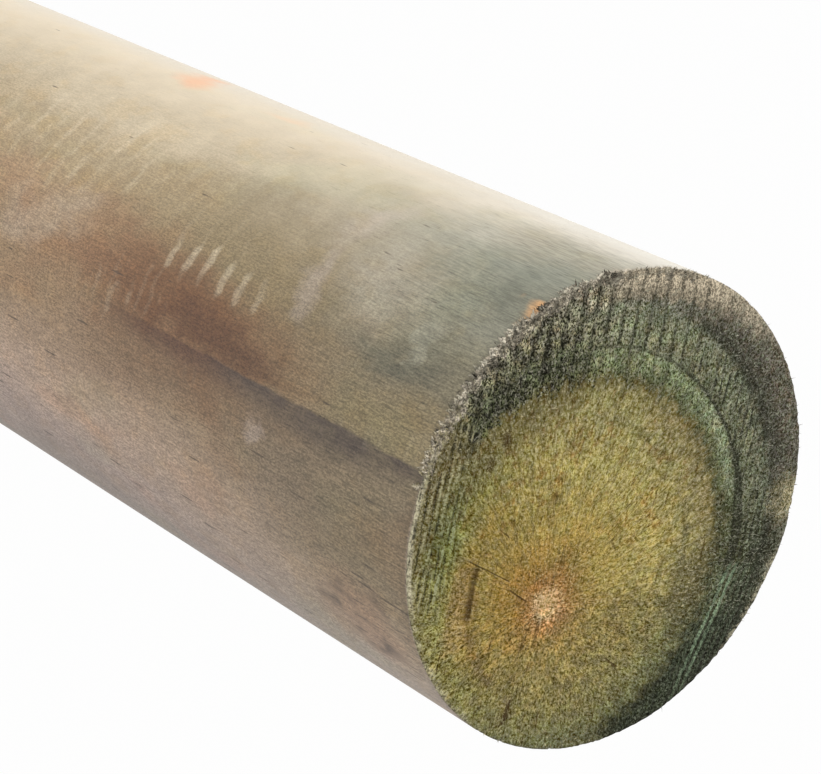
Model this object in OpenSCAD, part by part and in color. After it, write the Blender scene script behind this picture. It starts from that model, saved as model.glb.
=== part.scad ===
// Round wooden post: one length of softwood, machined to a true round and sawn
// square across the grain at both ends. It stands upright, with +Z up the grain
// and the middle of the foot at the origin.

/* [Post] */
// Diameter of the machined round
post_d = 100; // [50:5:200]
// Length from the foot to the top
post_l = 1800; // [900:100:3600]

/* [Finish] */
// Colour of the treated timber
timber_colour = "darkkhaki"; // [darkkhaki, tan, olivedrab, silver]

/* [Hidden] */
// Facets round the post when it is previewed
round_fn = 96;

// The whole post is one piece of one trunk, so it is one solid
module post() {
    color(timber_colour)
        cylinder(d = post_d, h = post_l, $fn = round_fn);
}

post();
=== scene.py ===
import math
import random
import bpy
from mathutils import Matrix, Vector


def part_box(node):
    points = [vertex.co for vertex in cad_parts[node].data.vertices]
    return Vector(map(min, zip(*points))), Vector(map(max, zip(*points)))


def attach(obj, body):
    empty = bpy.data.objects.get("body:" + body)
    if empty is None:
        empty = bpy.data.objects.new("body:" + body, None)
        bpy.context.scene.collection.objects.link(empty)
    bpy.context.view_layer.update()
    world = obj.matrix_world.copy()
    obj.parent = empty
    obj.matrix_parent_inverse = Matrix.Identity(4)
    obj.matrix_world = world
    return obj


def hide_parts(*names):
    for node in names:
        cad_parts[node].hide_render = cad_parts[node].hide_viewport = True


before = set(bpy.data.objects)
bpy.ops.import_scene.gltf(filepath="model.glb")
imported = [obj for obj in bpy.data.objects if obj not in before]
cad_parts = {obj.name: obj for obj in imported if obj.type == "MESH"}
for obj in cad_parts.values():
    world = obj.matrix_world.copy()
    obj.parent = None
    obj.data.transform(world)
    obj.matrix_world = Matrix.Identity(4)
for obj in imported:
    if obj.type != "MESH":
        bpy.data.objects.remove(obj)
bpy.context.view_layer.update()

from types import SimpleNamespace

import bmesh
import bpy
from mathutils import Matrix, Vector, noise

mm = 0.001
low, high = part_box("post")
radius = (high.x - low.x) / 2 / mm  # the timber is modelled in millimetres, then scaled and turned
height = high.z / mm
turn = 111.1  # degrees from the timber's own frame to the part's frame
pith = Vector((-12.4, -19.4))  # heart of the tree in the sawn end
drift = Vector((0.091, 0.215))  # how far a growth ring's centre moves for each mm of its radius


class Value:
    def __init__(self, shader, socket):
        self.shader, self.socket = shader, socket

    def __add__(self, other):
        return self.shader.maths("ADD", self, other)

    def __radd__(self, other):
        return self.shader.maths("ADD", other, self)

    def __sub__(self, other):
        return self.shader.maths("SUBTRACT", self, other)

    def __rsub__(self, other):
        return self.shader.maths("SUBTRACT", other, self)

    def __mul__(self, other):
        return self.shader.maths("MULTIPLY", self, other)

    def __rmul__(self, other):
        return self.shader.maths("MULTIPLY", other, self)

    def __truediv__(self, other):
        return self.shader.maths("DIVIDE", self, other)

    def __abs__(self):
        return self.shader.maths("ABSOLUTE", self)

    # a noise between 0 and 1 as a shift to either side, that far from end to end
    def sway(self, size):
        return (self - 0.5) * size


class Shader:
    def __init__(self, owner):
        owner.use_nodes = True
        self.owner, self.tree = owner, owner.node_tree
        self.tree.nodes.clear()

    def node(self, kind, settings=None, sockets=None, output=0):
        made = self.tree.nodes.new("ShaderNode" + kind)
        for name, setting in (settings or {}).items():
            if name == "stops":
                self.setStops(made.color_ramp, setting)
            else:
                setattr(made, name, setting)
        for name, given in (sockets or {}).items():
            if isinstance(given, Value):
                self.tree.links.new(given.socket, made.inputs[name])
            else:
                made.inputs[name].default_value = given
        if output == "all":
            return [Value(self, socket) for socket in made.outputs]
        return Value(self, made.outputs[output]) if len(made.outputs) else None

    def setStops(self, ramp, stops):
        while len(ramp.elements) < len(stops):
            ramp.elements.new(0.5)
        for element, (place, colour) in zip(ramp.elements, stops):
            element.position = place
            element.color = (*colour, 1)

    def maths(self, operation, *given):
        return self.node("Math", {"operation": operation}, dict(enumerate(given)))

    def mix(self, factor, first, second, blend="MIX"):
        first, second = [c if isinstance(c, Value) else (*c, 1) for c in (first, second)]
        settings = {"data_type": "RGBA", "blend_type": blend}
        return self.node("Mix", settings, {0: factor, 6: first, 7: second}, 2)

    def shade(self, colour, level):
        return self.node("VectorMath", {"operation": "SCALE"}, {0: colour, 3: level})

    def tint(self, colour, factor, by):
        return self.mix(factor, colour, self.mix(1.0, colour, by, "MULTIPLY"))

    def blend(self, factor, first, second):
        return self.node("Mix", {"data_type": "FLOAT"}, {0: factor, 2: first, 3: second})

    def largest(self, first, *others):
        for other in others:
            first = self.maths("MAXIMUM", first, other)
        return first

    def ramp(self, value, start, end, low=0.0, high=1.0):
        sockets = {"Value": value, "From Min": start, "From Max": end, "To Min": low, "To Max": high}
        return self.node("MapRange", {"interpolation_type": "SMOOTHSTEP"}, sockets)

    def band(self, value, centre, half, soft):
        return self.ramp(abs(value - centre), half + soft, half)

    def between(self, value, start, end, soft):
        return self.ramp(value, start - soft, start + soft) * self.ramp(value, end + soft, end - soft)

    def palette(self, value, stops):
        reach = stops[-1][0]
        placed = [(place / reach, colour) for place, colour in stops]
        return self.node("ValToRGB", {"stops": placed}, {0: value / reach})

    def stretched(self, place, scale):
        return self.node("VectorMath", {"operation": "MULTIPLY"}, {0: place, 1: scale})

    def noise(self, place, scale, detail, roughness, output=0):
        sockets = {"Vector": place, "Scale": scale, "Detail": detail, "Roughness": roughness}
        return self.node("TexNoise", {}, sockets, output)

    # three unlike noises from one node
    def fields(self, *settings):
        return self.node("SeparateXYZ", {}, {0: self.noise(*settings, 1)}, "all")

    def attribute(self, name):
        return self.node("Attribute", {"attribute_name": name}, {}, 2)

    # how far a place is from a stretched spot, in that spot's own half widths
    def spot(self, place, u, v, wide, long, tilt=0.0):
        turned = Matrix.Rotation(math.radians(-tilt), 3, "Z")
        across, along = turned[0] / wide, turned[1] / long
        if tilt:
            rows = [self.node("VectorMath", {"operation": "DOT_PRODUCT"}, {0: place, 1: row}, 1)
                    for row in (across, along)]
            local = self.node("CombineXYZ", {}, {0: rows[0], 1: rows[1]})
        else:
            local = self.stretched(place, (1 / wide, 1 / long, 0))
        centre = Vector((u, v, 0))
        sockets = {0: local, 1: (across.dot(centre), along.dot(centre), 0)}
        return self.node("VectorMath", {"operation": "DISTANCE"}, sockets, 1)

    # Object coordinates in the timber's own frame, in mm
    def timberPlace(self):
        place = self.node("TexCoord", {}, {}, 3)
        sockets = {"Vector": place, "Scale": (1 / mm,) * 3, "Rotation": (0, 0, math.radians(-turn))}
        place = self.node("Mapping", {}, sockets)
        return place, *self.node("SeparateXYZ", {}, {0: place}, "all")

    def finish(self, colour, rough, relief, specular):
        normal = self.node("Bump", {}, {"Height": relief, "Distance": mm, "Strength": 1.0})
        sockets = {"Base Color": colour, "Roughness": rough, "Normal": normal}
        sockets["Specular IOR Level"] = specular
        surface = self.node("BsdfPrincipled", {}, sockets)
        self.node("OutputMaterial", {}, {"Surface": surface})
        return self.owner

    # 1 for what the camera sees, straight or by way of a mirror or glass
    def seen(self):
        rays = ("Is Camera Ray", "Is Glossy Ray", "Is Transmission Ray")
        return self.largest(*[self.node("LightPath", {}, {}, ray) for ray in rays])


# ring number at a place in the sawn end: rings are circles whose centres drift from the pith
def ringAt(u, v):
    du, dv = u - pith.x, v - pith.y
    along = drift.x * du + drift.y * dv
    rest = 1 - drift.length_squared
    ring = (math.sqrt(along * along + rest * (du * du + dv * dv)) - along) / rest
    return ring, math.degrees(math.atan2(dv - drift.y * ring, du - drift.x * ring))


def smooth(value, start, end):
    share = min(1.0, max(0.0, (value - start) / (end - start)))
    return share * share * (3 - 2 * share)


sawn = {
    "topCells": 208,  # cells across the top
    "footCells": 104,
    "pitch": 3.54,  # between saw marks, with a slighter one halfway
    "offset": 1.2,
    "grooveDepth": 0.4,
    "fineDepth": 0.14,
    "roughness": 0.17,
    "hollows": 0.25,
    "ledge": 0.5,  # height of the step where the saw was moved
    "stripeLean": 16,  # degrees, of the marks at the lower right
    "stripeFrom": 38,  # how far out they start
    "tear": 0.9,  # how far the rim is worn
    "tornStretch": (-80, 12),  # degrees round from +v towards +u, where it is worn most
    "inset": 0.55,  # how much of the wear goes inwards, and how much down
    "sink": 0.9,
}
sawTurns = 2 * math.pi / sawn["pitch"]


def fractal(u, v, w, size, octaves=2):
    return noise.fractal((u / size, v / size, w), 0.8, 2.0, octaves)


def onCircle(around, reach, z):
    return Vector((math.sin(around) * reach, math.cos(around) * reach, z))


def within(value, start, end, soft):
    return smooth(value, start - soft, start + soft) * (1 - smooth(value, end - soft, end + soft))


# how far a place is past the start of the slanted stripes
def stripeSlant(u, v):
    lean = math.radians(sawn["stripeLean"])
    return u * math.cos(lean) - v * math.sin(lean) - sawn["stripeFrom"]


# how deep the saw marks are at a place, from 0 to 1: the wide ones and the slight ones between
def sawMarks(u, v, seed):
    ring, angle = ringAt(u, v)
    deep = 0.1 + 0.9 * within(ring, 44.3, 48, 0.6) * within(angle, 50, 125, 14)
    deep += 0.45 * smooth(ring, 53, 55) * within(angle, 64, 100, 8)
    deep += 0.5 * smooth(ring, 40, 43) * within(angle, 98, 140, 6)
    deep += 0.6 * smooth(-u, 38, 42) * within(v, -14, 14, 4)
    slight = 0.15 + 0.6 * within(ring, 44, 51, 0.5) * within(angle, 0, 70, 8)
    slight += 0.8 * smooth(-u, 37, 42) * within(v, -16, 14, 4)
    across = u + sawn["offset"] + 0.3 * math.sin(v * 0.16)
    patchy = min(1.0, max(0.0, 0.7 + 1.1 * fractal(u / 2, v / 6, seed + 5, 2.2)))
    deep *= max(0.0, math.cos(across * sawTurns)) ** 6 * patchy
    slight *= (0.5 + 0.5 * math.cos(across * sawTurns * 2)) ** 2 * patchy
    stripes = 0.5 - 0.5 * math.cos(stripeSlant(u, v) * sawTurns * 2)
    slight += within(ring, 41, 50, 1) * within(angle, -38, -6, 5) * stripes
    return deep, min(1.0, slight)


def sawnRelief(u, v, seed):
    deep, slight = sawMarks(u, v, seed)
    ring = ringAt(u, v)[0]
    grain = fractal(u, v * 0.6, seed + 2, 1.1) * (0.7 + 0.35 * smooth(ring, 34, 42))
    drop = sawn["grooveDepth"] * deep + sawn["fineDepth"] * slight - sawn["roughness"] * grain
    drop += sawn["hollows"] * fractal(u, v, seed + 3, 14.0)
    drop += sawn["ledge"] * smooth(u, -38, -31.4) * (u < -31) * within(v, -22, -10.5, 1.0)
    return drop, min(1.0, deep + 0.4 * slight)


# wear of the rim in chips, five times as deep on the torn stretch as elsewhere
def rimTear(around, seed):
    place = Vector((math.sin(around), math.cos(around), 0)) * radius
    torn = 0.2 + 0.8 * within(math.degrees(around), *sawn["tornStretch"], 8)
    chips = noise.fractal((place.x / 1.7, place.y / 1.7, seed), 0.7, 2.0, 2)
    return torn * (0.35 + max(0.0, chips) * 1.3)


def squareToDisc(x, y):
    if abs(x) < 1e-9 and abs(y) < 1e-9:
        return 0.0, 0.0
    if abs(x) > abs(y):
        reach, around = x, math.pi / 4 * y / x
    else:
        reach, around = y, math.pi / 2 - math.pi / 4 * x / y
    return reach * math.cos(around), reach * math.sin(around)


rimSteps = (0.25, 0.6, 1.1, 1.8, 3.0)  # the side's first rows, in mm below the rim


# one more row of faces on some edges: the vertices and edges of its far side
def extrudeRow(bm, edges):
    made = bmesh.ops.extrude_edge_only(bm, edges=edges)["geom"]
    kinds = (bmesh.types.BMVert, bmesh.types.BMEdge)
    return [[item for item in made if isinstance(item, kind)] for kind in kinds]


# one sawn end, facing up; the foot is made mirrored, with nothing standing out of it
def sawnEnd(cells, seed, facing):
    bm = bmesh.new()
    burr = bm.verts.layers.float.new("burr")
    bmesh.ops.create_grid(bm, x_segments=cells, y_segments=cells, size=1)
    for vert in bm.verts:
        x, y = squareToDisc(vert.co.x, vert.co.y)
        reach = math.hypot(x, y)
        around = math.atan2(x, y)
        tear = rimTear(around, seed) * sawn["tear"]
        edge = smooth(reach * radius, radius - 2.0, radius)
        wide = reach * (radius - tear * sawn["inset"] * edge)
        u, v = (x / reach * wide, y / reach * wide) if reach > 0 else (0.0, 0.0)
        drop = sawnRelief(u, v * facing, seed)[0] + edge ** 2 * tear * sawn["sink"]
        vert.co = (u, v, -drop if facing > 0 else -max(0.0, drop))
        vert[burr] = smooth(reach * radius, radius - 0.4 - 1.5 * tear, radius - 0.1) * min(1.0, tear * 1.6)
    for face in bm.faces:
        face.material_index = 1
    rimRows(bm, burr, seed)
    return bm


# the first rows of the side, worn back as the rim is
def rimRows(bm, burr, seed):
    sawnFaces = set(bm.faces)
    rim = [edge for edge in bm.edges if edge.is_boundary]
    start = {}
    for step, depth in enumerate(rimSteps):
        verts, edges = extrudeRow(bm, rim)
        for vert in verts:
            around = math.atan2(vert.co.x, vert.co.y)
            tear = rimTear(around, seed) * sawn["tear"]
            inset = tear * sawn["inset"] * (1 - smooth(depth, 0, 2.4)) ** 2
            if step == 0:
                start[round(around, 4)] = vert.co.z
            top = start.get(round(around, 4), -tear * sawn["sink"])
            reach = shaftRadius(around, height - depth if seed else depth) - inset
            level = max(depth, -top + 0.2 + depth * 0.6) if depth < 2.5 else depth
            vert.co = onCircle(around, reach, -level)
            vert[burr] = (1 - smooth(depth, 0.2, 0.7 + 1.6 * tear)) * min(1.0, 0.35 + tear)
        for face in {face for edge in rim for face in edge.link_faces if face not in sawnFaces}:
            face.material_index = 0
        rim = edges


# the shaft is machined nearly round: it wanders by a few tenths of a mm
def shaftRadius(around, z):
    u, v = math.sin(around), math.cos(around)
    waves, fibres = fractal(u * 1.2, v * 1.2, z / 220, 1), fractal(u * 12, v * 12, z / 90, 1)
    return radius - 0.12 + 0.2 * waves + 0.07 * fibres


shaftFaces = {
    "round": 208,
    "stepNear": 7.0,  # their height within some way of the top, and below that
    "nearTo": 280,
    "stepFar": 13.5,
    "footRow": 8.0,  # the last row stays above this
}


def shaftRows():
    rows, z = [], height - shaftFaces["stepNear"]
    while z > shaftFaces["footRow"]:
        rows.append(z)
        z -= shaftFaces["stepNear" if z > height - shaftFaces["nearTo"] else "stepFar"]
    return rows


def shaft():
    bm = bmesh.new()
    rows = shaftRows()
    bmesh.ops.create_circle(bm, segments=shaftFaces["round"], radius=radius)
    ring = bm.edges[:]
    for step, z in enumerate(rows):
        if step:
            ring = extrudeRow(bm, ring)[1]
        for vert in {vert for edge in ring for vert in edge.verts}:
            around = math.atan2(vert.co.x, vert.co.y)
            vert.co = onCircle(around, shaftRadius(around, z), z)
    return bm


def joinInto(bm, part, matrix):
    bmesh.ops.transform(part, matrix=matrix, verts=part.verts)
    held = bpy.data.meshes.new("held")
    part.to_mesh(held)
    part.free()
    bm.from_mesh(held)
    bpy.data.meshes.remove(held)


def boundaryAt(bm, z):
    return [edge for edge in bm.edges if edge.is_boundary and abs(edge.verts[0].co.z - z) < 0.01]


# where the timber's faces lie on the colour map chart: an end by its middle and half its size, the side
# unrolled, by its lower left corner and its size
colourMap = {
    "top": (0.25, 0.25, 0.245, 0.245),
    "foot": (0.625, 0.125, 0.12, 0.12),
    "sideNear": (0.005, 0.505, 0.49, 0.49),
    "sideRest": (0.505, 0.255, 0.49, 0.74),
    "nearTo": 300.0,  # mm below the top
}


def chartTimber(bm):
    chart = bm.loops.layers.uv.new("OFBake")
    nearTo = colourMap["nearTo"]
    for face in bm.faces:
        middle = face.calc_center_median()
        facing = math.atan2(middle.x, middle.y)
        if face.material_index:
            room = "top" if middle.z > height / 2 else "foot"
        else:
            room = "sideNear" if middle.z > height - nearTo else "sideRest"
        left, bottom, wide, tall = colourMap[room]
        for loop in face.loops:
            x, y, z = loop.vert.co
            across, up = x / radius, y / radius
            if not face.material_index:
                turned = (math.atan2(x, y) - facing + math.pi) % (2 * math.pi) - math.pi
                across = 0.5 + (facing + turned) / (2 * math.pi)
                up = (height - z) / nearTo if room == "sideNear" else z / (height - nearTo)
            loop[chart].uv = (left + across * wide, bottom + up * tall)


def newObject(name, data):
    made = bpy.data.objects.new(name, data)
    bpy.context.scene.collection.objects.link(made)
    return made


def toPart(name, bm, *materials):
    place = Matrix.Rotation(math.radians(turn), 4, "Z") @ Matrix.Scale(mm, 4)
    bmesh.ops.transform(bm, matrix=place, verts=bm.verts)
    mesh = bpy.data.meshes.new(name)
    bm.to_mesh(mesh)
    bm.free()
    for material in materials:
        mesh.materials.append(material)
    piece = newObject(name, mesh)
    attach(piece, "root")
    return piece


# angles round the side are in degrees from +v towards +u, depths in mm below the top end
side = {
    # the crest faces the key lamp: its palest colours, far from the ends and near them, are partly the cream
    # wood and partly a painted highlight, and the grain and tints fade out towards it
    "crest": 20,  # the palest line down the post: the colours run both ways from it
    # by degrees round from the crest: far from the ends, then near them; the dark stop at 160 degrees in the
    # far colours is painted shade along the shaded flank
    "far": (
        (0, (0.66, 0.6, 0.5)), (17, (0.655, 0.585, 0.475)), (25, (0.66, 0.565, 0.425)),
        (35, (0.61, 0.515, 0.375)), (45, (0.55, 0.46, 0.325)), (55, (0.505, 0.425, 0.295)),
        (65, (0.425, 0.345, 0.217)), (75, (0.37, 0.293, 0.172)), (85, (0.365, 0.27, 0.15)),
        (95, (0.33, 0.237, 0.137)), (105, (0.315, 0.227, 0.133)), (115, (0.345, 0.255, 0.167)),
        (130, (0.45, 0.345, 0.262)), (145, (0.37, 0.295, 0.25)), (160, (0.262, 0.215, 0.182)),
        (180, (0.3, 0.25, 0.21))),
    "near": (
        (0, (0.69, 0.655, 0.57)), (17, (0.68, 0.64, 0.56)), (25, (0.6, 0.555, 0.47)),
        (35, (0.31, 0.285, 0.215)), (45, (0.235, 0.235, 0.18)), (55, (0.205, 0.195, 0.14)),
        (65, (0.22, 0.22, 0.165)), (75, (0.22, 0.21, 0.14)), (85, (0.19, 0.17, 0.108)),
        (95, (0.25, 0.205, 0.11)), (105, (0.215, 0.175, 0.11)), (115, (0.235, 0.19, 0.115)),
        (130, (0.27, 0.215, 0.135)), (145, (0.35, 0.28, 0.19)), (160, (0.36, 0.3, 0.24)),
        (180, (0.34, 0.29, 0.22))),
    # angle, half width, depth, half length, softness, strength, colour
    "stains": (
        (-72, 14, 104, 20, 0.9, 0.45, (0.26, 0.15, 0.075)),
        (-87, 8, 82, 36, 0.8, 0.6, (0.17, 0.1, 0.055)),
        (-63, 8, 46, 26, 0.9, 0.35, (0.14, 0.12, 0.09)),
        (-57, 11, 74, 24, 1.0, 0.5, (0.19, 0.134, 0.056)),
        (-67, 9, 117, 27, 0.9, 0.65, (0.25, 0.12, 0.06)),
        (-74, 10, 88, 31, 0.8, 0.9, (0.165, 0.073, 0.03)),  # bark left on, reddish brown
        (-77, 3, 74, 22, 0.9, 0.8, (0.11, 0.05, 0.024)),
        (-92, 9, 112, 26, 0.9, 0.4, (0.26, 0.17, 0.1)),
        (-64, 5, 166, 14, 0.9, 0.5, (0.38, 0.22, 0.13)),
        (-64, 4, 143, 9, 0.8, 0.4, (0.5, 0.42, 0.32)),
        (-70, 5, 157, 8, 0.8, 0.4, (0.48, 0.4, 0.31)),
        (-124, 9, 20, 14, 0.7, 0.55, (0.33, 0.19, 0.11)),
        (-108, 8, 24, 22, 0.9, 0.55, (0.19, 0.145, 0.08)),
        (-96, 10, 42, 14, 1.0, 0.55, (0.18, 0.135, 0.09)),
        (-59, 5, 20, 10, 0.9, 0.65, (0.1, 0.1, 0.07)),  # soaked dark green
        (-35, 7, 11, 8, 0.9, 0.65, (0.115, 0.12, 0.085)),
        (-50, 13, 86, 32, 1.0, 0.6, (0.24, 0.185, 0.1)),
        (-28, 9, 22, 18, 1.0, 0.4, (0.23, 0.24, 0.185)),
        (-92, 4, 54, 4, 0.4, 0.5, (0.42, 0.34, 0.28)),  # scraped pale
        (-53, 4, 18, 2, 0.5, 0.4, (0.34, 0.33, 0.25)),
        (-31, 8, 57, 5, 0.8, 0.4, (0.5, 0.42, 0.36)),
        (-52, 8, 56, 3, 0.8, 0.45, (0.42, 0.35, 0.3)),
        (-40, 9, 42, 6, 0.9, 0.25, (0.46, 0.43, 0.37)),
        (-47, 6, 33, 9, 0.9, 0.25, (0.4, 0.39, 0.33)),
        (-20, 6, 37, 10, 0.9, 0.3, (0.6, 0.56, 0.47)),
        (-4, 6, 162, 6, 0.9, 0.75, (0.78, 0.42, 0.24)),  # resin knots
        (-5, 4, 120, 5, 1.0, 0.35, (0.8, 0.5, 0.3)),
        (-37.5, 3.4, 3.4, 3.2, 0.5, 1.0, (0.6, 0.34, 0.15))),
    "topToFoot": 1.6,  # how many times further the soaked colours reach at the top than at the foot
    "lineAngle": -80,
    "lineNear": (0.085, 0.062, 0.048),
    "lineFar": (0.115, 0.058, 0.034),
    "crackAngle": -113,
    "dashDark": (0.07, 0.048, 0.032),
    "chatterStart": 74,
    "chatterPitch": 6.85,
    "finePitch": 3.9,
    "chatterPale": (0.5, 0.43, 0.31),
    # where the cutter chattered: angle, half width, depth, half length, softness, strength
    "chatterStrong": ((-62, 7.5, 87, 18, 0.35, 1.0), (-76.5, 4, 116, 9, 0.4, 0.7)),
    "chatterBeside": (-50, 12, 98, 20, 0.7, 0.6),
    "chatterBeyond": (-46, 14, 156, 30, 0.4, 1.0),
    "chatterFine": ((-42, 22, 40, 24, 0.7, 0.25), (-40, 14, 130, 20, 0.8, 0.3)),
}


# the places and noises that the side's colours go by: washes, strokes across the grain and fibres along it
def sideFields(s):
    f = SimpleNamespace()
    f.place, u, v, w = s.timberPlace()
    f.around = s.maths("ARCTAN2", u, v) * (180 / math.pi)
    f.depth = height - w
    f.nearEnd = s.maths("MINIMUM", f.depth, w * side["topToFoot"])
    f.washes = s.fields(s.stretched(f.place, (1, 1, 0.5)), 0.05, 2, 0.6)
    f.smudges = s.fields(s.stretched(f.place, (1, 1, 0.7)), 0.16, 2, 0.6)
    f.strokes = s.noise(s.stretched(f.place, (0.22, 0.22, 1)), 0.42, 2, 0.55)
    f.streaks = s.noise(s.stretched(f.place, (1, 1, 0.08)), 2.6, 1, 0.7)
    f.fibre = s.noise(s.stretched(f.place, (1, 1, 0.5)), 2.6, 2, 0.8)
    f.clumps = s.ramp(s.noise(f.place, 0.35, 4, 0.65), 0.4, 0.56, 0.15, 1)
    angle = f.around + f.washes[0].sway(24) + f.smudges[0].sway(14)
    deep = f.depth + f.washes[1].sway(24) + f.smudges[1].sway(12)
    f.chart = s.node("CombineXYZ", {}, {0: angle, 1: deep})
    fromCrest = abs(s.maths("WRAP", f.around - side["crest"], 180.0, -180.0))
    wander = f.washes[1].sway(30) + f.smudges[1].sway(8)
    f.fromCrest = fromCrest + wander * s.ramp(fromCrest, 10, 50, 0.3, 1)

    def patch(angle, wide, deep, long, soft, strength):
        return s.ramp(s.spot(f.chart, angle, deep, wide, long), 1 + soft, 1 - soft, 0, strength)

    f.patch = patch
    return f


# cream on one flank, palest along the crest where part of that paleness is a painted highlight, and
# weathered mauve on the other, soaked dark and greenish near the ends
def sideGround(s, f):
    soaked = s.ramp(f.nearEnd + f.washes[0].sway(60) + f.smudges[0].sway(24), 125, 4)
    soaked = soaked * s.ramp(f.nearEnd, 60, 10, 0.75, 1)
    far, near = [s.palette(f.fromCrest, side[name]) for name in ("far", "near")]
    colour = s.mix(soaked, far, near)
    tinted = s.ramp(f.fromCrest, 15, 60, 0.1, 0.5)
    colour = s.tint(colour, s.ramp(f.washes[2], 0.5, 0.68) * tinted, (0.88, 0.97, 0.9))
    colour = s.tint(colour, s.ramp(f.smudges[1], 0.48, 0.66) * tinted, (1.04, 0.97, 0.84))
    warm = s.ramp(f.washes[1], 0.46, 0.34, 0.4, 0.85) * s.ramp(f.fromCrest, 40, 80)
    colour = s.tint(colour, warm, (1.0, 0.86, 0.8))
    return s.shade(colour, 1 + s.ramp(f.smudges[2], 0.25, 0.75, -0.14, 0.14) * tinted)


def sideStains(s, f, colour):
    for angle, wide, deep, long, soft, strength, stain in side["stains"]:
        colour = s.mix(f.patch(angle, wide, deep, long, soft, strength), colour, stain)
    return colour


# dark line beside the bark stain, sharp on one edge and spread on the other
def sideLine(s, f, colour):
    edge = f.around - side["lineAngle"] + f.smudges[0].sway(2)
    spread = s.ramp(f.depth, 66, 30, -3, -5) + s.ramp(f.depth, 30, 0, 0, 3)
    line = s.ramp(edge, 0.5, -0.3) * s.ramp(edge, spread - 5, spread + 3) * s.ramp(f.depth, 130, 84)
    line = line * s.ramp(f.smudges[1] + f.fibre * 0.5, 0.62, 0.86, 0.7, 1)
    inked = s.mix(s.ramp(f.depth, 60, 80), side["lineNear"], side["lineFar"])
    return s.mix(line * 0.95, colour, inked)


# cutter chatter: pale bars across the grain, wide in the stain and fading out beside it
def sideChatter(s, f, colour):
    waver = f.smudges[0].sway(5) + f.washes[2].sway(5)
    wave = s.maths("COSINE", (f.depth - side["chatterStart"] + waver) * (2 * math.pi / side["chatterPitch"]))
    ripple = s.maths("COSINE", (f.depth + waver) * (2 * math.pi / side["finePitch"]))
    broken = s.ramp(f.strokes + f.smudges[2].sway(0.6), 0.44, 0.6)
    strong = s.largest(*[f.patch(*where) for where in side["chatterStrong"]])
    bars = s.ramp(wave + strong * 0.6 + f.strokes, 1.1, 2.1) * (strong + f.patch(*side["chatterBeside"]))
    beyond = s.ramp(wave + f.smudges[2], 0.6, 1.5) * s.ramp(broken, 0, 1, 0.35, 1)
    beyond = beyond * f.patch(*side["chatterBeyond"])
    faint = s.largest(*[f.patch(*where) for where in side["chatterFine"]],
                      s.ramp(f.washes[2] + f.smudges[2] * 0.4, 0.76, 0.88, 0, 0.25))
    fine = s.ramp(ripple + f.smudges[2] * 1.2, 0.7, 1.5) * faint * broken
    pale = s.shade(s.mix(0.5, colour, side["chatterPale"]), 1.2)
    return s.mix(s.largest(bars, beyond, fine) * 0.62, colour, pale)


# dark hair-thin dashes along the grain, more of them on the mauve flank, one crack and one torn place
def sideDashes(s, f, colour):
    spots = s.node("TexVoronoi", {}, {"Vector": s.stretched(f.place, (1, 1, 0.08)), "Scale": 0.5})
    often = s.ramp(f.smudges[2] + s.ramp(f.fromCrest, 60, 125) * 0.27, 0.55, 0.65)
    dashes = s.ramp(spots, 0.13, 0.08) * often
    crackEdge = f.around - side["crackAngle"] - f.depth * 0.06 + f.smudges[1].sway(2)
    crack = s.band(crackEdge, 0, 0.12, 0.25) * s.ramp(f.depth, 19, 14)
    flecks = f.patch(-123, 7, 20, 13, 0.5, 1.0) * s.ramp(f.smudges[2] + f.fibre * 0.6, 0.84, 0.94)
    return s.mix(s.largest(dashes, crack, flecks) * 0.75, colour, side["dashDark"])


# fine grain, darker lines along it near the ends, and the frayed edge
def sideFibres(s, f, colour):
    speckle = s.ramp(f.fromCrest, 30, 100, 0.02, 0.33)
    colour = s.shade(colour, 1 + s.ramp(f.fibre, 0.34, 0.66, -1, 1) * speckle)
    lined = s.largest(speckle * 0.35, s.ramp(f.nearEnd, 70, 10, 0, 0.16) * s.ramp(f.fromCrest, 15, 35))
    colour = s.shade(colour, 1 + s.ramp(f.streaks, 0.36, 0.64, -1, 1) * lined)
    hairs = s.ramp(f.streaks, 0.33, 0.26) * s.ramp(f.nearEnd, 90, 15, 0.15, 0.6)
    colour = s.mix(hairs * s.ramp(f.fromCrest, 10, 30), colour, s.shade(colour, 0.45))
    colour = s.mix(s.ramp(f.nearEnd, 4, 1, 0, 0.25), colour, s.shade(colour, 0.6))
    tatters = s.mix(f.clumps, (0.13, 0.11, 0.08), (0.52, 0.44, 0.34))
    tatters = s.shade(tatters, s.ramp(f.fibre, 0.34, 0.66, 0.6, 1.4))
    return s.mix(s.attribute("burr"), colour, tatters)


def sideGrain():
    s = Shader(bpy.data.materials.new("side_grain"))
    f = sideFields(s)
    colour = sideGround(s, f)
    for layer in (sideStains, sideLine, sideChatter, sideDashes, sideFibres):
        colour = layer(s, f, colour)
    relief = f.fibre * 0.1 + f.strokes * 0.06 + f.smudges[2] * 0.2
    return s.finish(colour, 0.55, relief, 0.5)


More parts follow.
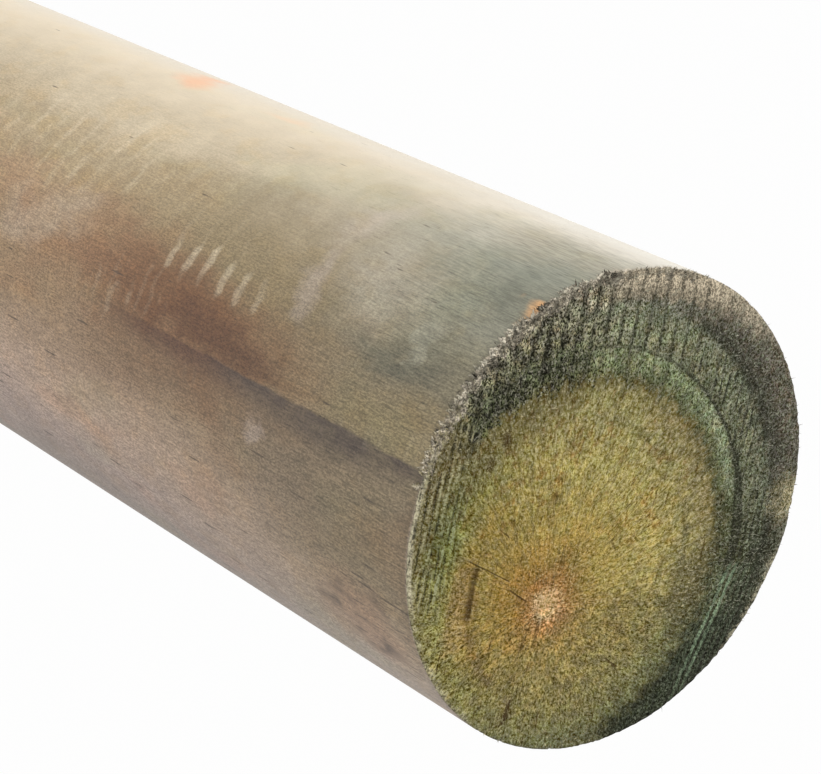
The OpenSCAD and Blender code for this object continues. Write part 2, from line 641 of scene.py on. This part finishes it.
# the sawn end: heartwood by its place round the pith, then sapwood, then what lies on them
end = {
    "heartEdge": (37.8, 39.2),  # ring numbers where the sapwood starts
    "lateRings": (31.8, 44.0, 51.9, 53.2),  # ring numbers of the dark lines
    # colours by ring number
    "pith": ((0, (0.66, 0.46, 0.26)), (3.0, (0.6, 0.4, 0.22))),
    "upper": (
        (4.6, (0.345, 0.172, 0.05)), (8, (0.265, 0.172, 0.044)),
        (13, (0.36, 0.27, 0.074)), (18, (0.34, 0.268, 0.078)), (24, (0.4, 0.335, 0.11)),
        (29, (0.308, 0.269, 0.099)), (33, (0.28, 0.25, 0.103)), (36, (0.198, 0.18, 0.069)),
        (39, (0.078, 0.073, 0.031))),
    "lower": (
        (4.6, (0.38, 0.2, 0.078)), (8, (0.242, 0.148, 0.043)),
        (13, (0.235, 0.174, 0.053)), (18, (0.21, 0.163, 0.049)), (24, (0.163, 0.135, 0.036)),
        (29, (0.145, 0.13, 0.038)), (33, (0.113, 0.116, 0.041)), (36, (0.077, 0.092, 0.036)),
        (39, (0.064, 0.079, 0.038)), (44, (0.11, 0.115, 0.05))),
    "left": (
        (4.6, (0.348, 0.17, 0.05)), (8, (0.275, 0.138, 0.023)),
        (13, (0.286, 0.172, 0.029)), (18, (0.267, 0.192, 0.043)), (24, (0.247, 0.17, 0.024)),
        (29, (0.187, 0.177, 0.04)), (33, (0.17, 0.162, 0.037)), (38, (0.15, 0.138, 0.042)),
        (42, (0.135, 0.125, 0.057)), (48, (0.15, 0.14, 0.075))),
    "sapBright": (
        (38, (0.085, 0.08, 0.036)), (39.4, (0.082, 0.085, 0.042)), (40.8, (0.118, 0.136, 0.074)),
        (42.7, (0.17, 0.195, 0.113)),
        (44, (0.125, 0.135, 0.084)), (45, (0.115, 0.12, 0.08)), (47.5, (0.135, 0.14, 0.09)),
        (50.5, (0.124, 0.132, 0.096)), (52, (0.092, 0.088, 0.072)), (54.5, (0.1, 0.088, 0.075)),
        (57, (0.11, 0.097, 0.082))),
    "sapDark": (
        (38, (0.042, 0.04, 0.016)), (40.5, (0.02, 0.022, 0.01)), (43.7, (0.028, 0.032, 0.017)),
        (47, (0.064, 0.061, 0.038)), (51, (0.105, 0.096, 0.068)), (56, (0.12, 0.105, 0.078))),
    "sapLow": (
        (38, (0.044, 0.046, 0.022)), (40, (0.015, 0.017, 0.009)), (43.5, (0.016, 0.021, 0.013)),
        (47, (0.011, 0.014, 0.009)), (51, (0.01, 0.011, 0.009)), (56, (0.04, 0.038, 0.03))),
    "sapRight": (
        (38, (0.072, 0.063, 0.027)), (41, (0.041, 0.042, 0.019)), (43, (0.054, 0.06, 0.03)),
        (46, (0.032, 0.035, 0.019)), (49, (0.022, 0.026, 0.015)), (52, (0.021, 0.024, 0.016)),
        (54, (0.056, 0.056, 0.04)), (57, (0.075, 0.07, 0.053))),
    # dark torn marks: u, v, half width, half length, lean in degrees from upright, strength
    "gashes": (
        (-16.7, -40.8, 0.65, 3, -6, 1), (8.6, -32, 0.3, 2.0, 58, 0.9), (-26, -3.9, 0.2, 1.3, 62, 0.8),
        (2.2, -6.8, 0.3, 2.4, 38, 0.5), (-31, 15.6, 1.0, 1.7, 10, 0.7), (-33.6, 10.4, 0.8, 1.6, -8, 0.6),
        (-16, -26, 0.5, 2.8, -8, 0.5), (-13.2, -25.5, 0.5, 3.2, -3, 0.55), (-15.6, 3, 0.5, 3.6, 0, 0.4),
        (-10.4, -9.5, 0.8, 2, 8, 0.5)),
    # start, where it ends across, fall for each mm, half width, softness
    "checks": ((-34, -9, -23, 0.4, 0.06, 0.13), (-22.5, -15.2, -17.5, 0.52, 0.08, 0.2)),
    "pithRed": (0.2, 0.07, 0.026),
    "dullRing": (0.2, 0.155, 0.082),
    "orangeStain": (0.23, 0.135, 0.042),
    "tanSpot": (0.22, 0.19, 0.115),
    "rimTan": ((0.3, 0.255, 0.18), (0.53, 0.45, 0.325)),  # from the sap out to the rim
    "rimTatters": (0.44, 0.385, 0.3),
    "rimThin": (0.46, 0.42, 0.29),
    "stripeGreen": (0.17, 0.225, 0.14),
    # painted highlight on the ridges between the saw grooves at the left
    "ridgeHighlightColour": (0.4, 0.37, 0.22),
    # dark of the torn marks and checks, and painted shadow below the ledge
    "tornDarkAndLedgeShadow": (0.045, 0.023, 0.009),
    # dark of the late-wood rings, and painted shade in the saw grooves
    "lateWoodAndGrooveShade": (0.02, 0.02, 0.012),
}


# the places and noises that the sawn end's colours go by: ring number and angle round the pith, and grain
def endFields(s):
    f = SimpleNamespace()
    f.place, f.u, f.v, w = s.timberPlace()
    f.wobble = s.fields(f.place, 0.09, 3, 0.6)
    f.ripple = s.fields(f.place, 0.35, 4, 0.65)
    du = f.u - pith.x + f.wobble[0].sway(1.4) + f.ripple[0].sway(0.9)
    dv = f.v - pith.y + f.wobble[1].sway(1.4) + f.ripple[1].sway(0.9)
    along = du * drift.x + dv * drift.y
    rest = 1 - drift.length_squared
    f.ring = (s.maths("SQRT", along * along + (du * du + dv * dv) * rest) - along) / rest
    turned = s.maths("ARCTAN2", dv - f.ring * drift.y, du - f.ring * drift.x)
    f.angle = turned * (180 / math.pi)
    f.fromRim = radius - s.maths("SQRT", f.u * f.u + f.v * f.v)
    f.around = s.maths("ARCTAN2", f.u, f.v) * (180 / math.pi)
    f.atTop = s.ramp(w, height / 2 - 1, height / 2 + 1)

    # short fibres that run out from the pith and widen away from it
    def rays(reach, scale):
        sockets = {0: s.maths("COSINE", turned) * reach, 1: s.maths("SINE", turned) * reach}
        sockets[2] = f.ring * 0.45 + w
        return s.noise(s.node("CombineXYZ", {}, sockets), scale, 2, 0.65)

    f.fibre = s.blend(s.ramp(f.ring, 9, 20), s.noise(f.place, 2.2, 2, 0.7), rays(34, 2.3))
    f.crumbs = s.noise(f.place, 1.45, 2, 0.95)
    f.pits = rays(26, 0.8)
    f.weave = s.noise(s.stretched(f.place, (1.7, 1, 1)), 1.6, 1, 0.9)
    f.streaks = s.noise(s.stretched(f.place, (1, 0.13, 1)), 1.35, 1, 0.7)
    f.grain = f.fibre * 0.5 + f.crumbs * 0.5
    f.clumps = s.ramp(f.ripple[0], 0.4, 0.56, 0.15, 1)
    return f


# where the sapwood is, with a ragged edge, and how light each grain is
def endRegions(s, f):
    f.ragged = f.angle + f.wobble[2].sway(30) + f.ripple[2].sway(14)
    f.edgeRing = f.ring + f.crumbs.sway(5) + f.pits.sway(8) + f.ripple[2].sway(4)
    f.lower = s.between(f.ragged, -152, -4, 16)
    soft = s.largest(f.lower, s.between(f.ragged, -20, 48, 10) * 0.4)
    sapStart, sapFull = end["heartEdge"]
    reach = s.ramp(f.angle, -74, -58) * s.ramp(f.angle + f.ripple[2].sway(14), 146, 137)
    f.inSap = s.ramp(f.edgeRing, sapStart - soft * 3, sapFull + soft * 2.5) * reach
    f.rough = s.ramp(f.ragged, 84, 108) * f.inSap
    uneven = s.largest(f.lower * 0.2, f.rough * 1.2) + f.inSap * 0.15 + s.ramp(f.u, -30, -38, 0.9, 1.25)
    combed = s.blend(f.inSap, s.ramp(f.fibre, 0.36, 0.62), s.ramp(f.weave, 0.38, 0.62))
    share = f.inSap * -0.26 + 0.58
    f.lightness = (s.ramp(f.crumbs, 0.36, 0.62) * share + combed * (1 - share) - 0.5) * uneven + 0.5
    f.wear = s.ramp(f.lightness, 0, 1, 0.45, 1.5)


# heartwood, lighter above the pith and browner to its left
def heartwood(s, f):
    names = ("upper", "lower", "left")
    upper, lower, left = [s.palette(f.ring, end["pith"] + end[name]) for name in names]
    colour = s.mix(f.lower, upper, lower)
    colour = s.mix(s.ramp(abs(f.ragged), 95, 155), colour, left)
    dusk = s.between(f.ring, 30, 40, 1.5) * s.between(f.ragged, -20, 6, 5) * 1.4
    dusk = s.largest(dusk, s.ramp(f.ring, 30, 34) * s.ramp(f.ragged, 92, 106))
    colour = s.shade(colour, dusk * -0.4 + 1)
    colour = s.tint(colour, s.ramp(f.ripple[0], 0.44, 0.6, 0, 0.7), (0.84, 0.96, 0.95))
    colour = s.tint(colour, s.ramp(f.ripple[1], 0.5, 0.64, 0, 0.65), (1.07, 0.9, 0.78))
    colour = s.tint(colour, s.ramp(f.wobble[1] + f.ripple[2] * 0.5, 0.72, 0.88, 0, 0.6), (1.06, 0.93, 0.78))
    lowLeft = s.between(f.ring, 15, 31, 3) * s.between(f.ragged, -144, -100, 10)
    colour = s.shade(colour, lowLeft * -0.17 + 1)
    red = s.ramp(f.ring, 9, 4.5) * s.ramp(f.crumbs, 0.53, 0.47) * s.ramp(f.ring, 1, 3.6)
    colour = s.mix(red * 0.8, colour, end["pithRed"])
    dull = s.between(f.edgeRing, 33.5, 38.5, 2) * s.between(f.ragged, 10, 64, 8)
    colour = s.mix(dull * 0.45, colour, end["dullRing"])
    orange = s.between(f.v + f.ripple[2].sway(8), -28, -9.5, 2)
    orange = orange * s.between(f.u + f.ripple[0].sway(6), -37, -31.4, 1)
    colour = s.mix(orange * f.atTop * 0.6, colour, end["orangeStain"])
    bow = s.band(f.ring - f.angle * 0.066 + f.ripple[0].sway(3), 32, 0.4, 1.8)
    return s.tint(colour, bow * s.ramp(f.angle, -112, -124) * 0.75, (0.62, 0.5, 0.3))


# sapwood on all but the left: green at the top, darker both ways round from there
def sapwood(s, f):
    sap = s.palette(f.ring, end["sapBright"])
    sap = s.shade(sap, s.ramp(f.ring, 42.5, 44) * s.ramp(f.ragged, 45, 75, -0.24, 0.13) + 0.93)
    sap = s.mix(s.ramp(f.ragged, 88, 106), sap, s.palette(f.ring, end["sapDark"]))
    right = s.ramp(f.ragged - s.ramp(f.ring, 44.5, 43.2, 0, 11), 15, 3)
    sap = s.mix(right, sap, s.palette(f.ring, end["sapRight"]))
    sap = s.mix(s.ramp(f.ragged, -11, -20), sap, s.palette(f.ring, end["sapLow"]))
    tip = s.between(f.ring + f.pits.sway(2), 41.2, 43.4, 0.7) * s.between(f.angle, 20, 50, 5)
    sap = s.mix(tip * 0.5, sap, (0.21, 0.24, 0.17))
    sap = s.tint(sap, s.ramp(f.ripple[0], 0.42, 0.62, 0, 0.8), (0.86, 0.98, 0.86))
    return s.tint(sap, s.ramp(f.ripple[1], 0.46, 0.66, 0, 0.8), (1.15, 0.96, 0.86))


# coarse bright and dark grain in clumps
def grainClumps(s, f, colour):
    mottle = s.ramp(f.ripple[2], 0.34, 0.66, -1, 1) * (s.largest(f.lower * 0.2, f.rough * 0.8) + 0.14) + 1
    colour = s.shade(colour, mottle * s.ramp(f.pits, 0.36, 0.64, 1.24, 0.7))
    low = s.mix(1.0, s.shade(colour, 0.3), s.mix(f.inSap, (1.0, 0.9, 0.3), (1, 1, 0.7)), "MULTIPLY")
    low = s.mix(0.4, s.mix(f.inSap, (0.075, 0.045, 0.002), (0.006, 0.006, 0.003)), low)
    low = s.shade(low, f.lower * -0.25 + 1)
    level = s.largest(f.inSap * s.ramp(f.ragged, 80, 110, 0.5, 1.45), f.lower * 0.4) + 2.1
    level = level * s.ramp(f.ring, 3, 7, 1.06, 1)
    palest = s.mix(s.ramp(f.ring, 10, 26), (0.42, 0.35, 0.2), (0.4, 0.36, 0.26))
    high = s.mix(s.blend(f.inSap, 0.35, 0.08), s.shade(colour, level), palest)
    blue = f.lightness * s.ramp(f.lightness, 0, 1, 0.5, 1.16)
    fade = s.node("CombineXYZ", {}, {0: f.lightness, 1: f.lightness, 2: blue})
    eachColour = {"data_type": "VECTOR", "factor_mode": "NON_UNIFORM"}
    colour = s.node("Mix", eachColour, {1: fade, 4: low, 5: high}, 1)
    bright = s.ramp(f.crumbs * 0.6 + f.fibre * 0.4 + f.inSap * 0.02, 0.57, 0.61)
    bright = bright * s.between(f.ragged, -16, 130, 8) * 0.3 + bright * 0.35
    sapPale = s.mix(s.ramp(f.ragged, 60, 85), (0.28, 0.31, 0.22), (0.38, 0.36, 0.28))
    return s.mix(bright, colour, s.mix(f.inSap, (0.54, 0.47, 0.27), sapPale))


# torn brown places in the heartwood, most of them at the upper left
def tornHeart(s, f, colour):
    inHeart = (1 - f.inSap) * s.ramp(f.ring, 5, 8)
    colour = s.shade(colour, s.ramp(f.streaks, 0.6, 0.72, 0, 0.25) * inHeart + 1)
    colour = s.tint(colour, s.ramp(f.streaks, 0.34, 0.25) * inHeart, (0.42, 0.34, 0.22))
    blotch = s.ramp(f.ripple[1] * 0.75 + f.streaks * 0.25 + s.ramp(f.angle, 60, 130, 0, 0.02), 0.58, 0.61)
    blotch = blotch * inHeart * s.ramp(f.ring, 14, 22) * s.between(f.angle, 20, 185, 12)
    return s.tint(colour, blotch * 0.6, (0.55, 0.42, 0.25))


# paler tatters along the rim: wide where it is torn, a thin line elsewhere
def wornRim(s, f, colour):
    frayed = f.fromRim + f.pits.sway(7) + f.fibre.sway(5)
    tatters = s.ramp(frayed, 1.8, 0.9) * s.between(f.around, -80, -14, 5) * f.clumps
    crown = s.between(f.around + f.ripple[0].sway(10), -14, 24, 6)
    beside = s.between(f.around + f.ripple[0].sway(20), 20, 40, 6) * 0.6
    tan = s.ramp(frayed * 0.6 + f.fromRim * 0.4, 6.6, 4.8) * crown
    tan = s.largest(tan, s.ramp(frayed, 4.5, 2) * beside)
    thin = s.ramp(f.fromRim + f.crumbs.sway(1.2), 1.5, 0.9) * s.between(f.around, -112, -74, 5) * 0.9
    little = s.largest(s.between(f.around, -150, -104, 6) * 0.5, s.between(f.around, 100, 128, 5) * 0.6)
    thin = s.largest(thin, s.ramp(frayed, 1.2, 0.3) * little)
    tanned = s.mix(s.ramp(f.fromRim, 5, 1.5), *end["rimTan"])
    colour = s.mix(tan * 0.9, colour, s.shade(tanned, f.wear))
    colour = s.mix(tatters, colour, s.shade(end["rimTatters"], f.wear))
    return s.mix(thin, colour, s.shade(end["rimThin"], f.wear))


# saw stripes at the lower right, pale and green
def leaningStripes(s, f, colour):
    slant = stripeSlant(f.u, f.v) + f.wobble[0].sway(1.2) + f.grain.sway(0.8)
    stripes = s.ramp(s.maths("COSINE", slant * (sawTurns * 2)), -0.5, 0.5)
    stripes = stripes * s.ramp(f.ripple[1], 0.3, 0.5, 0.6, 1)
    stripes = stripes * s.between(f.v + f.ripple[0].sway(5), -44, -12, 1.5) * f.inSap
    stripes = stripes * s.between(slant, -5, 9, 0.7) * s.ramp(abs(slant - 0.9), 2.6, 1.4, 0.15, 0.9)
    stripes = stripes * s.ramp(f.v, -38, -32, 0.35, 1)
    return s.mix(stripes, colour, s.shade(end["stripeGreen"], f.wear))


# saw marks: grooves darkened with painted shade, regular at the top, looser at the right and left, with pale
# ridges at the left that are a painted highlight
def sawGrooves(s, f, colour):
    across = f.u + sawn["offset"] + s.maths("SINE", f.v * 0.16) * 0.3
    across = across + f.wobble[2].sway(1.6) + f.crumbs.sway(1.2)
    wide, narrow = s.maths("COSINE", across * sawTurns), s.maths("COSINE", across * (sawTurns * 2))
    loose = narrow + f.streaks.sway(7)
    atLeft = s.between(f.v + f.ripple[1].sway(12), -20, 19, 3)
    atLeft = atLeft * s.ramp(f.u + f.ripple[0].sway(6), -36, -41)
    crown = s.between(f.u, -29, 15.5, 1)
    deep = crown * s.ramp(f.ring, 43.6, 44.6) * s.ramp(f.ring, 51, 44, 0.55, 0.9)
    deep = s.largest(deep, crown * s.ramp(f.fromRim, 6, 4) * s.ramp(f.u, -29, -10, 0.3, 1) * 0.55,
                     s.ramp(f.ring, 39, 42, 0, 0.35) * s.ramp(f.ragged, -24, 0)) * f.inSap
    slight = s.ramp(f.ring, 40, 45, 0.2, 1) * s.ramp(f.u, 8, 16, 0.3, 1) * s.ramp(f.ring, 55, 51, 0.3, 1)
    slight = slight * s.ramp(f.ragged, -30, -4, 0.6, 1) * f.inSap

    # painted shade in the wide saw grooves and painted highlight between them, in the rough sapwood at the
    # upper left
    flutes = s.ramp(wide, -0.9, 0.9, -0.2, 0.3) * s.ramp(f.ragged, 60, 95, 0.2, 1) * f.inSap
    colour = s.shade(colour, 1 - flutes * s.ramp(f.ripple[1] + f.streaks.sway(0.5), 0.38, 0.6))
    colour = s.shade(colour, s.ramp(f.streaks, 0.48, 0.4) * slight * 0.4 + 1)
    # pale ridges between the saw grooves at the left: painted highlight
    ridgeHighlight = s.ramp(loose, -0.5, -1.4) * atLeft * s.ramp(f.crumbs, 0.4, 0.56, 0.2, 0.9)
    colour = s.mix(ridgeHighlight, colour, end["ridgeHighlightColour"])
    colour = s.tint(colour, s.ramp(s.spot(f.place, -40.5, -5, 4.5, 12), 1.6, 0.2), (0.86, 1.0, 0.93))
    # painted shade in the wide and slight saw grooves, and in the grooves at the left
    coarse = s.ramp(wide, 0.6, 0.95) * deep * s.ramp(f.streaks, 0.3, 0.44)
    fine = s.ramp(narrow + f.streaks.sway(8), 0.6, 1.6) * slight
    return colour, s.largest(coarse, fine, s.ramp(loose, 0.5, 1.6) * atLeft * 0.85)


# late wood of single rings as dark lines
def lateRings(s, f):
    inner, middle, outer, outmost = end["lateRings"]
    thin = s.band(f.ring, middle, 0.16, 0.4) * s.between(f.angle, -5, 98, 3)
    thin = thin * s.ramp(f.angle, 45, 75, 1, 0.65)
    half = s.ramp(f.angle, 10, 34, 0.9, 0.2)
    thick = s.band(f.ring, middle - 0.1 + s.ramp(f.angle, 10, 30, 0, 0.3), half, 0.8)
    thick = thick * s.between(f.angle, -4, 32, 4)
    out = s.band(f.ring + f.ripple[2].sway(1.5), outer, 0.6, 1.0) * s.between(f.angle, -12, 70, 9)
    out = out * (s.between(f.angle, 6, 26, 3) * -0.6 + 1)
    out = s.largest(out, s.band(f.ring, outmost, 1.4, 1.2) * s.between(f.angle, -12, 62, 8) * 0.6)
    faint = s.band(f.ring, inner, 0.3, 1.1) * s.between(f.angle, 2, 88, 9)
    faint = faint * s.ramp(f.ripple[1], 0.34, 0.54, 0.1, 0.6) * s.ramp(f.angle, 16, 30, 1, 0.5)
    return s.largest(thin, thick, out * 0.82, faint)


# dark torn marks and checks, and painted shadow at the foot of the ledge where the saw was moved
def tornMarksAndLedgeShade(s, f):
    # painted shadow on the low side of the ledge's wall
    marks = s.between(f.v + f.ripple[1].sway(3), -21.5, -10.6, 0.8) * s.ramp(f.u, -30.8, -31.1)
    marks = marks * s.ramp(f.u + f.grain.sway(2.4), -33, -31.5) * 0.8
    for startU, startV, endU, fall, half, soft in end["checks"]:
        line = s.band(f.v - startV + (f.u - startU) * fall, 0, half, soft)
        marks = s.largest(marks, line * s.between(f.u, startU, endU, 0.5))
    for u, v, wide, long, tilt, strength in end["gashes"]:
        far = s.spot(f.place, u, v, wide, long, tilt) + f.grain.sway(5)
        marks = s.largest(marks, s.ramp(far, 1.5, 0.5, 0, strength))
    return marks * f.atTop


# splinters stand out paler or darker than the face they grow from
def splinterColours(s, f, colour):
    pale = s.attribute("pale")
    frayed = s.mix(f.clumps, (0.17, 0.145, 0.11), (0.54, 0.485, 0.39))
    frayed = s.shade(frayed, s.ramp(f.grain, 0.4, 0.6, 0.3, 1.5))
    colour = s.mix(s.attribute("burr") * s.ramp(f.around, 18, 30, 1, 0.4), colour, frayed)
    inSap = s.mix(s.ramp(f.ragged, -8, -20), (0.36, 0.35, 0.27), (0.06, 0.066, 0.05))
    crumb = s.shade(s.mix(f.inSap, (0.5, 0.43, 0.23), inSap), s.ramp(f.grain, 0.3, 0.7, 0.5, 1.5))
    colour = s.mix(s.largest(pale, 0.0), colour, crumb)
    return s.shade(colour, s.maths("MINIMUM", pale, 0.0) + 1)


def endGrain():
    s = Shader(bpy.data.materials.new("end_grain"))
    f = endFields(s)
    endRegions(s, f)
    colour = s.mix(f.inSap, heartwood(s, f), sapwood(s, f))
    tanned = s.ramp(s.spot(f.place, 47.6, 2.6, 5.4, 5.4) + f.crumbs.sway(1.5), 1.2, 0.6)
    colour = s.mix(tanned * 0.85, colour, end["tanSpot"])
    for layer in (grainClumps, tornHeart, wornRim, leaningStripes):
        colour = layer(s, f, colour)
    colour, grooveShade = sawGrooves(s, f, colour)
    colour = s.mix(tornMarksAndLedgeShade(s, f) * 0.85, colour, end["tornDarkAndLedgeShadow"])
    # late-wood rings are dark in the wood itself; the saw grooves get painted shade in the same dark
    dark = s.largest(lateRings(s, f), grooveShade) * s.ramp(f.lightness, 0.5, 1.0, 1, 0.6)
    colour = s.mix(dark * 0.9, colour, end["lateWoodAndGrooveShade"])
    colour = splinterColours(s, f, colour)
    return s.finish(colour, 0.9, f.grain * 0.5 - f.pits * 0.2, 0.06)


print("timber mesh")
bm = bmesh.new()
bm.verts.layers.float.new("burr")
joinInto(bm, sawnEnd(sawn["topCells"], 1.0, 1), Matrix.Translation((0, 0, height)))
joinInto(bm, sawnEnd(sawn["footCells"], 0.0, -1), Matrix.Rotation(math.pi, 4, "X"))
joinInto(bm, shaft(), Matrix.Identity(4))
rows = shaftRows()
for z, shaftRow in ((height - rimSteps[-1], rows[0]), (rimSteps[-1], rows[-1])):
    bmesh.ops.bridge_loops(bm, edges=boundaryAt(bm, z) + boundaryAt(bm, shaftRow))
bmesh.ops.recalc_face_normals(bm, faces=bm.faces)
for face in bm.faces:
    face.smooth = True
print("open edges", sum(edge.is_boundary for edge in bm.edges), "faces", len(bm.faces))
chartTimber(bm)
post = toPart("post_timber", bm, sideGrain(), endGrain())
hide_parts("post")

torn = {
    "seed": 7,
    "endCount": 20000,
    "endLength": (0.4, 1.1),
    "endWidth": (0.22, 0.48),
    "endRise": (0, 35),  # degrees above the sawn face
    "longShare": 0.08,  # these are twice as long and narrower
    "rimCount": 2200,
    "rimLength": (0.5, 1.2),
    "rimWidth": (0.25, 0.55),
    "rimRise": (5, 55),
    "tatterCount": 340,
    "tatterDepth": (0.2, 1.5),
    "tatterLength": (0.6, 1.6),
    "tatterWidth": (0.7, 1.5),
    "tatterRise": (-80, 10, -62),  # least, most and likeliest
    "tatterStretch": (-84, -14),  # degrees round from +v towards +u
}


# thousands of little three-sided splinters, doubled up from one and then laid out one by one
def splinters(places):
    bm = bmesh.new()
    bmesh.ops.create_cone(bm, cap_ends=True, segments=3, radius1=0.5, radius2=0, depth=1)
    which = bm.verts.layers.int.new("which")
    layers = [bm.verts.layers.float.new(name) for name in ("pale", "burr")]
    count = 1
    while count < len(places):
        copies = bmesh.ops.duplicate(bm, geom=bm.verts[:] + bm.edges[:] + bm.faces[:])["geom"]
        for vert in (item for item in copies if isinstance(item, bmesh.types.BMVert)):
            vert[which] += count
        count *= 2
    extra = [vert for vert in bm.verts if vert[which] >= len(places)]
    bmesh.ops.delete(bm, geom=extra, context="VERTS")
    for vert in bm.verts:
        matrix, *values = places[vert[which]]
        vert.co = matrix @ vert.co
        for layer, value in zip(layers, values):
            vert[layer] = value
    bm.verts.layers.int.remove(which)
    return bm


def layFibre(foot, out, rise, length, width):
    direction = Vector((math.cos(out) * math.cos(rise), math.sin(out) * math.cos(rise), math.sin(rise)))
    turned = direction.to_track_quat("Z", "Y").to_matrix().to_4x4()
    size = Matrix.Diagonal((width, width * 0.5, length, 1))
    return Matrix.Translation(foot + direction * length * 0.4) @ turned @ size


def endSplinter(chance):
    u, v = chance.uniform(-radius, radius), chance.uniform(-radius, radius)
    if math.hypot(u, v) > radius - 0.8:
        return None
    ring = ringAt(u, v)[0]
    sap = smooth(ring, 34, 42)
    drop, dark = sawnRelief(u, v, 1.0)
    if chance.random() > (0.5 + 0.5 * sap) * (1 - 0.7 * dark):
        return None
    out = math.atan2(v - pith.y, u - pith.x) + chance.gauss(0, 0.7)
    rise = math.radians(chance.uniform(*torn["endRise"]))
    long = chance.random() < torn["longShare"]
    length = chance.uniform(*torn["endLength"]) * (2.0 if long else 1.0)
    width = chance.uniform(*torn["endWidth"]) * (0.7 if long else 1.0)
    tint = chance.uniform(-0.38, 0.75) * (0.75 + 0.25 * sap)
    return layFibre(Vector((u, v, height - drop - 0.06)), out, rise, length, width), tint, 0.0


def rimSplinter(chance):
    around = math.radians(chance.uniform(-180, 180))
    tear = rimTear(around, 1.0)
    if chance.random() > tear * 1.2 - 0.2:
        return None
    back = chance.random() ** 1.5 * 2.2 * min(1.0, tear + 0.2)
    reach = radius - 0.35 - back
    level = height - 0.15 - tear * 0.7 * max(0, 1 - back)
    foot = onCircle(around, reach, level)
    out = math.pi / 2 - around + chance.gauss(0, 0.6)
    rise = math.radians(chance.uniform(*torn["rimRise"]))
    length, width = chance.uniform(*torn["rimLength"]), chance.uniform(*torn["rimWidth"])
    return layFibre(foot, out, rise, length, width), chance.uniform(-0.4, 0.6), min(1.0, tear * 1.3)


# longer tatters where the saw broke out, lying out over the side
def rimTatter(chance):
    bearing = chance.uniform(*torn["tatterStretch"])
    clump = noise.noise(Vector((bearing * 0.35, 3.0, 0)))
    if clump + chance.uniform(-0.4, 0.4) < -0.05:
        return None
    around = math.radians(bearing)
    reach = radius - chance.uniform(0.0, 0.7)
    foot = onCircle(around, reach, height - chance.uniform(*torn["tatterDepth"]))
    out = math.pi / 2 - around + chance.gauss(0, 0.6)
    rise = math.radians(chance.triangular(*torn["tatterRise"]))
    length, width = chance.uniform(*torn["tatterLength"]), chance.uniform(*torn["tatterWidth"])
    shadow = noise.noise(Vector((bearing * 0.22, 8.0, 0))) + chance.gauss(0, 0.15)
    dark = shadow < -0.22 and bearing > -76
    tone = (-0.75, 0.0) if dark else (chance.uniform(0, 0.5), 1.0)
    return layFibre(foot, out, rise, length, width), *tone


def tornFibres():
    chance = random.Random(torn["seed"])
    places = []
    for name, make in (("endCount", endSplinter), ("rimCount", rimSplinter), ("tatterCount", rimTatter)):
        wanted = len(places) + torn[name]
        while len(places) < wanted:
            laid = make(chance)
            if laid:
                places.append(laid)
    bm = splinters(places)
    bmesh.ops.recalc_face_normals(bm, faces=bm.faces)
    chart = bm.loops.layers.uv.new("OFBake")
    for loop in (loop for face in bm.faces for loop in face.loops):
        loop[chart].uv = (0.5 + loop.vert.co.x / radius * 0.47, 0.5 + loop.vert.co.y / radius * 0.47)
    return toPart("torn_fibres", bm, post.data.materials[1])


print("torn fibres")
tornFibres()

studio = {
    "floorSize": 40.0,
    "floorColour": (0.86, 0.86, 0.85),
    "floorWhite": 0.9,
    "worldStrength": 0.5,
    "keyStrength": 0.8 * math.pi,
    "keyFrom": (186.1, 35),  # degrees round from +X and above the floor
    "fillStrength": 0.3 * math.pi,
    "fillFrom": (281.1, 35),
    "softness": 60,
}


def lamp(name):
    light = bpy.data.lights.new(name, "SUN")
    light.energy = studio[name + "Strength"]
    light.angle = math.radians(studio["softness"])
    made = newObject(name, light)
    around, above = map(math.radians, studio[name + "From"])
    flat = math.cos(above)
    towards = Vector((math.cos(around) * flat, math.sin(around) * flat, math.sin(above)))
    made.rotation_mode = "QUATERNION"
    made.rotation_quaternion = towards.to_track_quat("Z", "Y")


def floorMaterial():
    floor = Shader(bpy.data.materials.new("studio_floor"))
    lit = floor.node("BsdfDiffuse", {}, {"Color": (*studio["floorColour"], 1)})
    white = floor.node("Emission", {}, {"Color": (1, 1, 1, 1), "Strength": 1.0})
    both = floor.node("MixShader", {}, {0: floor.seen() * studio["floorWhite"], 1: lit, 2: white})
    floor.node("OutputMaterial", {}, {"Surface": both})
    return floor.owner


def makeWorld():
    world = bpy.data.worlds.new("studio")
    bpy.context.scene.world = world
    sky = Shader(world)
    level = sky.ramp(sky.seen(), 0, 1, studio["worldStrength"], 1.0)
    sky.node("OutputWorld", {}, {"Surface": sky.node("Background", {}, {"Strength": level})})


def makeStudio():
    bm = bmesh.new()
    bmesh.ops.create_grid(bm, x_segments=1, y_segments=1, size=studio["floorSize"] / 2)
    mesh = bpy.data.meshes.new("studio_floor")
    bm.to_mesh(mesh)
    mesh.materials.append(floorMaterial())
    newObject("studio_floor", mesh)
    lamp("key")
    lamp("fill")
    makeWorld()


# places in radii of the post, turns in degrees
camera = {"lens": 125.24, "away": 8.139, "above": 7.753, "azimuth": 0.573, "tilt": 41.646, "roll": 117.04}


def makeCamera():
    data = bpy.data.cameras.new("camera")
    data.lens = camera["lens"]
    made = newObject("camera", data)
    place = Matrix.Translation((0, -camera["away"] * radius * mm, high.z + camera["above"] * radius * mm))
    turned = Matrix.Rotation(math.radians(camera["azimuth"]), 4, "Z")
    turned @= Matrix.Rotation(math.radians(camera["tilt"]), 4, "X")
    turned @= Matrix.Rotation(math.radians(camera["roll"]), 4, "Z")
    made.matrix_world = place @ turned
    bpy.context.scene.camera = made


print("studio")
makeStudio()
makeCamera()
bpy.context.scene.view_settings.view_transform = "Standard"
